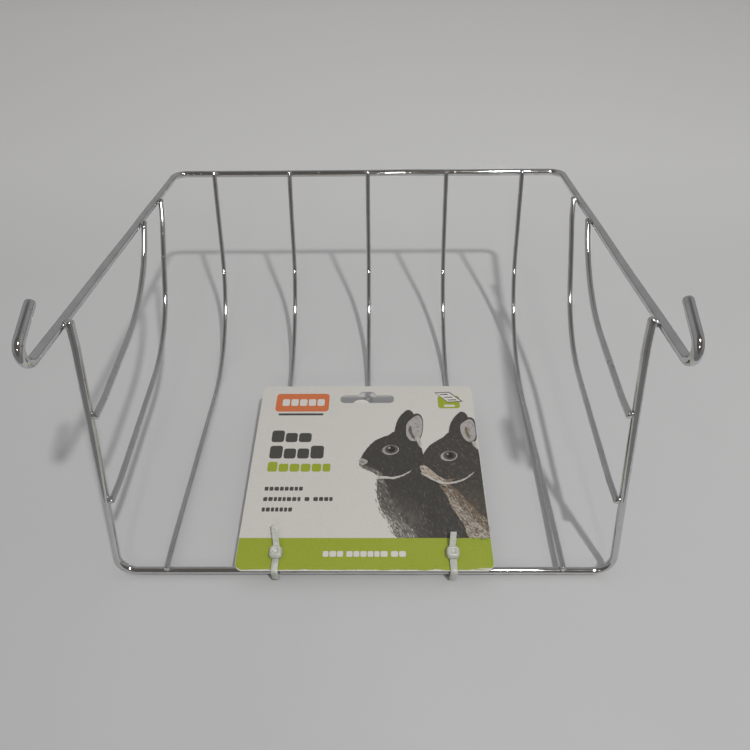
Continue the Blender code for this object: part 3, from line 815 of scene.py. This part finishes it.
def make_card():
    """Board, white print sheet and every printed area as its own thin layer."""
    draw = random.Random(11)
    top = CARD_LIFT + CARD_T
    holes = [slot_outline()]
    for side in SIDES:
        holes.append(rounded_outline(TIE_HOLE_D, TIE_HOLE_D, TIE_HOLE_D / 2.01,
                                     (side * TIE_X, CARD_EDGE + TIE_HOLE_UP)))
    middle = (0.0, CARD_EDGE + CARD_L / 2.0)
    raw = paper_material("raw_board")
    board = bmesh.new()
    add_plate(board, [rounded_outline(CARD_W, CARD_L, CARD_CORNER_R, middle)] + holes,
              CARD_LIFT, top)
    card_piece("card_board", board, raw, "header_card")

    # The punched-out tongue still hangs on at the lower side of the slot, bent down behind it.
    tongue = bmesh.new()
    slot_base = CARD_EDGE + CARD_L - SLOT_FROM_FAR_EDGE
    turns = [math.radians(a) for a in range(0, 181, 12)]
    arch = [(TONGUE_X + TONGUE_HALF_W * math.cos(a), TONGUE_H * math.sin(a)) for a in turns]
    skin(tongue, [[tongue.verts.new((x, slot_base + y, CARD_LIFT - drop - TONGUE_LEAN * y))
                   for x, y in arch] for drop in (0.0004, 0.0001)])
    card_piece("card_slot_tongue", tongue, raw)

    # The printed sheet stops a little short of the board, most along the worn near edge.
    outline = rounded_outline(CARD_W - 2.0 * SHEET_MARGIN, CARD_L - 2.0 * SHEET_MARGIN,
                              CARD_CORNER_R, middle)
    worn = densified([Vector((x, y, 0.0)) for x, y in outline + outline[:1]], 0.8 * MM)[:-1]
    for spot in worn:
        low_edge = max(0.0, 1.0 - (spot.y - CARD_EDGE) / (1.5 * MM))
        chew = 0.45 + noise.noise(Vector((spot.x * 160.0, 4.0, 0.0)))
        chew += 0.4 * noise.noise(Vector((spot.x * 900.0, 8.0, 0.0)))
        for deep, x, reach in TORN_SPOTS:
            chew += deep * math.exp(-((spot.x - x) / reach) ** 2)
        spot.y += low_edge * max(0.0, chew) * 0.75 * MM
    level = top + SHEET_UP
    sheet = bmesh.new()
    add_plate(sheet, [[(spot.x, spot.y) for spot in worn]] + holes, top - 0.02 * MM, level)
    card_piece("card_print_sheet", sheet,
               print_material("print_white", (0.560, 0.550, 0.520), (0.640, 0.630, 0.600)))

    def print_layer(name, material, outlines):
        shape = bmesh.new()
        for height, outline in outlines:
            add_plate(shape, [outline], level - LAYER, level + LAYER * height)
        card_piece("card_print_" + name, shape, material)

    green = print_material("print_green", (0.265, 0.330, 0.014), (0.335, 0.405, 0.030))
    band_top = CARD_EDGE + BAND_H
    half = CARD_W / 2.0 - SHEET_MARGIN
    lower = [(spot.x, spot.y) for spot in worn if spot.y < CARD_EDGE + 5.0 * MM]
    lower.sort(key=lambda p: math.atan2(p[0], CARD_EDGE + 6.0 * MM - p[1]))
    band = bmesh.new()
    add_plate(band, [[(-half, band_top)] + lower + [(half, band_top)]] + holes[1:],
              level - LAYER, level + LAYER)
    card_piece("card_print_band", band, green)

    accents = greeked(-52.8, 54.8, 6.2, [(5.2, 1.0)] + [(5.2, 0.8)] * 3 + [(5.0, 0.8), (4.2, 0.8)],
                      0.75)
    accents.append((1, block(41.3, 97.6, 12.6, 9.4, 1.8)))
    print_layer("accent", green, accents)
    orange = print_material("print_orange", (0.560, 0.135, 0.042), (0.640, 0.185, 0.065))
    print_layer("badge", orange, [(1, block(-53.2, 95.4, 31.0, 13.3, 2.0))])

    ink = print_material("print_ink", (0.046, 0.046, 0.042), (0.078, 0.078, 0.072))
    rows = greeked(-52.8, 73.9, 8.0, [(7.0, 1.0), (6.6, 0.78), (7.0, 0.78)], 0.8)
    rows += greeked(-52.8, 63.1, 8.4, [(7.0, 1.0), (6.6, 0.78), (6.4, 0.78), (7.2, 1.0)], 0.8)
    for y, counts in ((43.2, (8,)), (37.1, (8, 1, 4)), (31.1, (7,))):
        rows += greeked(-52.6, y, 2.9, words(draw, counts, 2.2, 1.0))
    rows.append((1, block(-51.0, 92.6, 26.0, 1.5, 0.7)))
    print_layer("ink", ink, rows)

    pale = print_material("print_pale", (0.600, 0.590, 0.565), (0.670, 0.660, 0.635))
    marks = greeked(-49.4, 99.6, 5.0, [(4.2, 1.0)] * 5, 0.9)
    marks += greeked(-20.0, 7.0, 3.6, words(draw, (3, 6, 2), 3.1, 0.6), 0.5)
    marks = [(height + 1, outline) for height, outline in marks]
    marks.append((3, tray_outline(40.6, 109.0, 7.6, 6.6)))
    marks.append((2, block(44.6, 98.7, 6.4, 1.5, 0.5)))
    print_layer("pale", pale, marks)
    lines = [(2, tray_outline(39.7, 109.5, 8.8, 7.6))]
    for x, y, wide in ((42.6, 108.2, 4.6), (44.9, 106.0, 4.8), (46.9, 104.0, 5.0)):
        lines.append((4, tray_outline(x, y, wide, 0.5)))
    print_layer("icon_line", ink, lines)

    shared = (
        fur_material("fur_inner_ear", (0.330, 0.315, 0.305), (0.430, 0.410, 0.400),
                     (0.26, 0.235, 0.225), 0.2),
        fur_material("fur_light", (0.420, 0.400, 0.370), (0.560, 0.535, 0.500),
                     (0.60, 0.575, 0.54), 0.1),
        fur_material("iris", (0.062, 0.056, 0.052), (0.110, 0.100, 0.094),
                     (0.08, 0.07, 0.065), 0.0),
        print_material("pupil", (0.014, 0.013, 0.012), (0.024, 0.022, 0.020)),
    )
    for label, rabbit, base, furs in (("left", RABBIT_A, 2, FURS_A),
                                      ("right", RABBIT_B, 12, FURS_B)):
        coats = tuple(fur_material(f"{kind}_{label}", *looks) for kind, *looks in furs)
        make_rabbit(label, rabbit, base, level, coats + shared, draw)


# ---------------- cable ties

def add_strap(shape, path, width, thickness, ribs_from):
    """A flat strap with rounded edges; past a given length its upper side has saw teeth."""
    section = [(-0.5, -0.28), (-0.42, -0.5), (0.42, -0.5), (0.5, -0.28),
               (0.5, 0.28), (0.42, 0.5), (0.0, 0.5), (-0.42, 0.5), (-0.5, 0.28)]
    rings = []
    travelled = 0.0
    for index, point in enumerate(path):
        before = path[max(index - 1, 0)]
        after = path[min(index + 1, len(path) - 1)]
        travelled += (point - before).length
        onward = (after - before).normalized()
        outward = Vector((0.0, -onward.z, onward.y)).normalized()
        notch = 0.42 * (travelled / TOOTH_PITCH % 1.0) if travelled > ribs_from else 0.0
        narrow = 0.90 if travelled > ribs_from else 1.0
        ring = []
        for u, v in section:
            level = v - notch if v > 0.0 and abs(u) < 0.45 else v
            ring.append(shape.verts.new(point + Vector((u * width * narrow, 0.0, 0.0))
                                        + outward * (level * thickness)))
        rings.append(ring)
    skin(shape, rings)


def add_tie_head(shape, x, low):
    """Round-cornered locking head with soft edges and a sunken window for the strap."""
    wide, long, high = TIE_HEAD
    centre = (x, CARD_EDGE + TIE_HOLE_UP)
    levels = ((0.0, 0.0004), (0.12, 0.0), (0.62, 0.0), (0.84, 0.00025), (0.96, 0.0008),
              (1.0, 0.0014), (0.98, 0.0017), (0.72, 0.0019))
    rings = []
    for share, inset in levels:
        corner = max(0.0003, 0.0021 - inset)
        outline = rounded_outline(wide - 2.0 * inset, long - 2.0 * inset, corner, centre)
        rings.append([shape.verts.new((px, py, low + high * share)) for px, py in outline])
    skin(shape, rings)


def make_ties(material):
    """Both cable ties: strap through the hole, round the run, through the head, tail up."""
    half = STRAP_T / 2.0
    top = CARD_LIFT + CARD_T
    over = top + CLEARANCE + half
    under = -(RIM_R + CLEARANCE + half)
    front = CARD_EDGE - CLEARANCE - half
    hole = CARD_EDGE + TIE_HOLE_UP
    for side, tip, lean, label in zip(SIDES, TAIL_TIP, TAIL_LEAN, ("left", "right")):
        x = side * TIE_X
        rows = [(hole, over + 1.2 * MM), (hole, CARD_LIFT * 0.7), (-under, under), (front, under),
                (front, over), (hole - 1.5 * MM, over + 0.1 * MM),
                (hole + 3.0 * MM, over + 1.3 * MM), (CARD_EDGE + tip, top + TAIL_TIP_RISE)]
        corners = [Vector((x, y, z)) for y, z in rows]
        corners[-1].x += lean
        bends = [0.0015, 0.0016, -under, 0.0012, 0.006, 0.010]
        path = densified(rounded_path(corners, bends, STRAP_BEND_STEP), 0.15 * MM)
        shape = bmesh.new()
        add_tie_head(shape, x, top + CLEARANCE * 0.4)
        loop = sum((b - a).length for a, b in zip(path, path[1:]))
        tail = CARD_EDGE + tip - hole - 3.0 * MM
        add_strap(shape, path, STRAP_W, STRAP_T, loop - tail)
        card_piece(f"cable_tie_{label}", shape, material, f"tie_{label}", True)


# ---------------- stage

def make_floor():
    """Plain pale table: a near part that the chrome mirrors and a far part that it does not. Its
    colour grows paler towards the back: painted light that makes up for the key lamp's falloff.
    """
    material, tree, shader, where = principled("table_top", Roughness=0.55)
    cloud = speckle(tree, where, 6.0, 3.0)
    fine = speckle(tree, where, 700.0, 2.0)
    near = ramp(tree, cloud, (0.3, (0.484, 0.494, 0.506)), (0.7, (0.506, 0.516, 0.528)))
    # Painted light: the table's colour is mixed towards near-white further back, to make up for the
    # key lamp's falloff with distance.
    depth = node(tree, "ShaderNodeSeparateXYZ", {"Vector": where}).outputs["Y"]
    painted_light_span = node(tree, "ShaderNodeMapRange", {"Value": depth, "From Min": -0.25, "From Max": 1.0})
    share = ramp(tree, painted_light_span.outputs["Result"], (0.05, 0.0), (0.32, 0.24), (0.48, 0.55), (1.0, 1.0))
    shade = mixed(tree, share, near, (0.96, 0.965, 0.97))
    tree.links.new(shade, shader.inputs["Base Color"])
    set_bump(tree, shader, (fine, 0.04, 0.0002))
    for name, reach, front, back, level in (("table_near", 0.42, -0.22, 0.60, -0.0002),
                                            ("table_far", 3.0, -3.0, 3.0, -0.00022)):
        mesh = bpy.data.meshes.new(name)
        mesh.from_pydata([(-reach, front, level), (reach, front, level), (reach, back, level),
                          (-reach, back, level)], [], [(0, 1, 2, 3)])
        mesh.materials.append(material)
        floor = new_object(name, mesh)
        floor.visible_glossy = name == "table_near"


def add_area_light(name, spot, aim, size, power, colour):
    """A disc light that points at the aim."""
    data = bpy.data.lights.new(name, "AREA")
    data.shape = "DISK"
    data.size = size
    data.energy = power
    data.color = colour
    lamp = new_object(name, data)
    lamp.location = spot
    lamp.rotation_euler = (Vector(aim) - Vector(spot)).to_track_quat("-Z", "Y").to_euler()
    return lamp


def make_lights():
    """A small key light, a wide fill, three lamps for the chrome's highlights, and a soft room."""
    lamps = {}
    for name, spot, aim, size, power, colour in (
            ("key", (0.322, -0.548, 1.070), (0.0, 0.0, 0.02), 0.056, 6.1, (1.0, 0.985, 0.96)),
            ("fill", (0.0, -0.2, 1.6), (0.0, -0.1, 0.0), 3.0, 10.4, (1.0, 0.99, 0.975)),
            ("gleam", (0.324, -0.551, 1.077), (0.0, 0.0, 0.02), 0.10, 6.0, (1.0, 0.985, 0.96)),
            ("spark", (0.05, -1.30, 0.82), (0.0, 0.0, 0.04), 0.08, 1.2, (1.0, 0.98, 0.95)),
            ("glint", (0.08, -0.30, 1.66), (0.0, 0.0, 0.1), 0.13, 3.0, (1.0, 1.0, 1.0))):
        lamps[name] = add_area_light(name, spot, aim, size, power, colour)
    lamps["fill"].visible_glossy = False
    lamps["gleam"].visible_diffuse = lamps["glint"].visible_diffuse = False
    lit = bpy.data.collections.new("glint_on")
    for name in ("wire_side_bar_left_upper", "wire_side_bar_right_upper"):
        lit.objects.link(bpy.data.objects[name])
    lamps["glint"].light_linking.receiver_collection = lit
    world = bpy.data.worlds.new("room")
    bpy.context.scene.world = world
    world.use_nodes = True
    tree = world.node_tree
    direction = node(tree, "ShaderNodeTexCoord").outputs["Generated"]
    parts = node(tree, "ShaderNodeSeparateXYZ", {"Vector": direction})
    height = node(tree, "ShaderNodeMapRange", {"Value": parts.outputs["Z"], "From Min": -1.0})
    room = ramp(tree, height.outputs["Result"], (0.44, 0.20), (0.50, 0.24), (0.54, 0.31),
                (0.80, 0.32), (0.90, 0.28), (0.97, 0.17), (1.0, 0.10))
    facing = node(tree, "ShaderNodeVectorMath", {0: direction, 1: (0.0, -0.70, 0.71)},
                  operation="DOT_PRODUCT")
    person = ramp(tree, facing.outputs["Value"], (0.50, 0.0), (0.70, 1.0))
    shade = mixed(tree, person, room, (0.120, 0.108, 0.098))
    tree.links.new(shade, tree.nodes["Background"].inputs["Color"])
    tree.nodes["Background"].inputs["Strength"].default_value = 1.0


CAMERA_SPOT, CAMERA_LENS = (0.0087, -0.2558, 0.2709), 28.8
CAMERA_TURNS = (43.42, -0.91, -0.78)        # pitch, yaw and roll in degrees


def make_camera():
    """The camera stands in front of the near run and looks down into the basket."""
    pitch, yaw, roll = (math.radians(turn) for turn in CAMERA_TURNS)
    level = math.cos(pitch)
    ahead = Vector((math.sin(yaw) * level, math.cos(yaw) * level, -math.sin(pitch)))
    right = Vector((math.cos(yaw), -math.sin(yaw), 0.0))
    upward = right.cross(ahead)
    turned = right * math.cos(roll) + upward * math.sin(roll)
    upward = upward * math.cos(roll) - right * math.sin(roll)
    data = bpy.data.cameras.new("camera")
    data.sensor_width = 36.0
    data.lens = CAMERA_LENS
    data.clip_start = 0.01
    camera = new_object("camera", data)
    matrix = Matrix((turned, upward, -ahead)).transposed().to_4x4()
    matrix.translation = Vector(CAMERA_SPOT)
    camera.matrix_world = matrix
    bpy.context.scene.camera = camera


noise.seed_set(WAVE_SEED)
bpy.context.scene.view_settings.view_transform = "Standard"
make_camera()
chrome = chrome_material("chrome_wire", 0.0)
weld_metal = chrome_material("chrome_weld", 0.14)
make_frames(chrome)
welds = {label: bmesh.new() for label in ("near", "far", "left", "right")}
make_bars(chrome, welds)
for label, shape in welds.items():
    finish_piece(f"welds_{label}", shape, weld_metal, "rack")
make_card()
make_ties(nylon_material("natural_nylon"))
make_floor()
make_lights()
